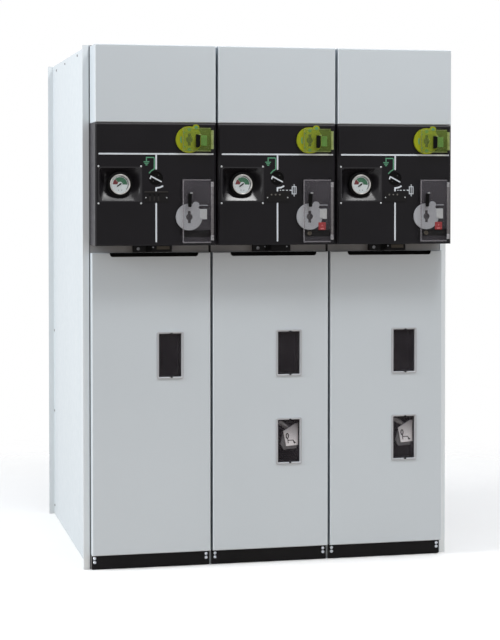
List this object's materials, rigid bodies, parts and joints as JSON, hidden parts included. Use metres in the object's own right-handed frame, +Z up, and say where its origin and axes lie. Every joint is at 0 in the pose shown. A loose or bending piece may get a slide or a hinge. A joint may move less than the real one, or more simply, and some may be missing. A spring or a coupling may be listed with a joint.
{
  "type": "ring main unit",
  "caption": "Modular medium-voltage ring main unit: grey sheet-steel cubicles with black control panels, pressure gauges, lever discs, hinged flaps and windowed doors.",
  "frame": {"origin": "centre of the bounding box's base, on the floor", "axes": "+X along the fronts to the right, +Y from the fronts to the back, +Z up"},
  "size_m": [1.162, 1.0806, 1.6],
  "materials": {
    "grey_sheet": "satin powder coat",
    "black_sheet": "satin powder coat",
    "black_panel": "fine texture",
    "window_plastic": "gloss",
    "earth_disc": "gloss",
    "switch_disc": "satin",
    "green_flap": "clear tinted plastic",
    "clear_flap": "clear plastic",
    "red_button": "satin"
  },
  "bodies": {
    "housing": {"left_end_wall": "grey_sheet", "right_end_wall": "grey_sheet", "left_partition": "grey_sheet", "right_partition": "grey_sheet", "roof_plates": "grey_sheet", "rear_panels": "grey_sheet", "bottom_plates": "grey_sheet", "left_cross_rail": "grey_sheet", "middle_cross_rail": "grey_sheet", "right_cross_rail": "grey_sheet", "left_plinth": "black_sheet", "middle_plinth": "black_sheet", "right_plinth": "black_sheet", "left_door": "grey_sheet", "middle_door": "grey_sheet", "right_door": "grey_sheet", "left_windows": "window_plastic", "middle_windows": "window_plastic", "right_windows": "window_plastic", "left_control_panel": "black_panel", "middle_control_panel": "black_panel", "right_control_panel": "black_panel", "left_upper_cover": "grey_sheet", "middle_upper_cover": "grey_sheet", "right_upper_cover": "grey_sheet", "left_interlock_box": "black_sheet", "middle_interlock_box": "black_sheet", "right_interlock_box": "black_sheet", "left_gauge": "black_panel", "middle_gauge": "black_panel", "right_gauge": "black_panel", "left_earth_disc": "earth_disc", "middle_earth_disc": "earth_disc", "right_earth_disc": "earth_disc", "left_switch_disc": "switch_disc", "middle_switch_disc": "switch_disc", "right_switch_disc": "switch_disc", "middle_trip_button": "red_button", "right_trip_button": "red_button"},
    "left_earth_flap": {"left_earth_flap": "green_flap"},
    "left_switch_flap": {"left_switch_flap": "clear_flap"},
    "left_indicator": {"left_indicator": "black_panel"},
    "middle_earth_flap": {"middle_earth_flap": "green_flap"},
    "middle_switch_flap": {"middle_switch_flap": "clear_flap"},
    "middle_indicator": {"middle_indicator": "black_panel"},
    "right_earth_flap": {"right_earth_flap": "green_flap"},
    "right_switch_flap": {"right_switch_flap": "clear_flap"},
    "right_indicator": {"right_indicator": "black_panel"}
  },
  "joints": [
    {"name": "left_earth_flap_hinge", "type": "hinge", "parent": "housing", "child": "left_earth_flap", "pos_m": [-0.2045, -0.53475, 1.312], "axis": [0, 0, 1], "range_deg": [0, 100]},
    {"name": "left_switch_flap_hinge", "type": "hinge", "parent": "housing", "child": "left_switch_flap", "pos_m": [-0.2045, -0.53475, 1.0965], "axis": [0, 0, 1], "range_deg": [0, 100]},
    {"name": "left_indicator_turn", "type": "hinge", "parent": "housing", "child": "left_indicator", "pos_m": [-0.375, -0.52375, 1.196], "axis": [0, 1, 0], "range_deg": [0, 66]},
    {"name": "middle_earth_flap_hinge", "type": "hinge", "parent": "housing", "child": "middle_earth_flap", "pos_m": [0.1705, -0.53475, 1.312], "axis": [0, 0, 1], "range_deg": [0, 100]},
    {"name": "middle_switch_flap_hinge", "type": "hinge", "parent": "housing", "child": "middle_switch_flap", "pos_m": [0.1705, -0.53475, 1.0965], "axis": [0, 0, 1], "range_deg": [0, 100]},
    {"name": "middle_indicator_turn", "type": "hinge", "parent": "housing", "child": "middle_indicator", "pos_m": [0, -0.52375, 1.196], "axis": [0, 1, 0], "range_deg": [0, 66]},
    {"name": "right_earth_flap_hinge", "type": "hinge", "parent": "housing", "child": "right_earth_flap", "pos_m": [0.5455, -0.53475, 1.312], "axis": [0, 0, 1], "range_deg": [0, 100]},
    {"name": "right_switch_flap_hinge", "type": "hinge", "parent": "housing", "child": "right_switch_flap", "pos_m": [0.5455, -0.53475, 1.0965], "axis": [0, 0, 1], "range_deg": [0, 100]},
    {"name": "right_indicator_turn", "type": "hinge", "parent": "housing", "child": "right_indicator", "pos_m": [0.375, -0.52375, 1.196], "axis": [0, 1, 0], "range_deg": [0, 66]}
  ]
}
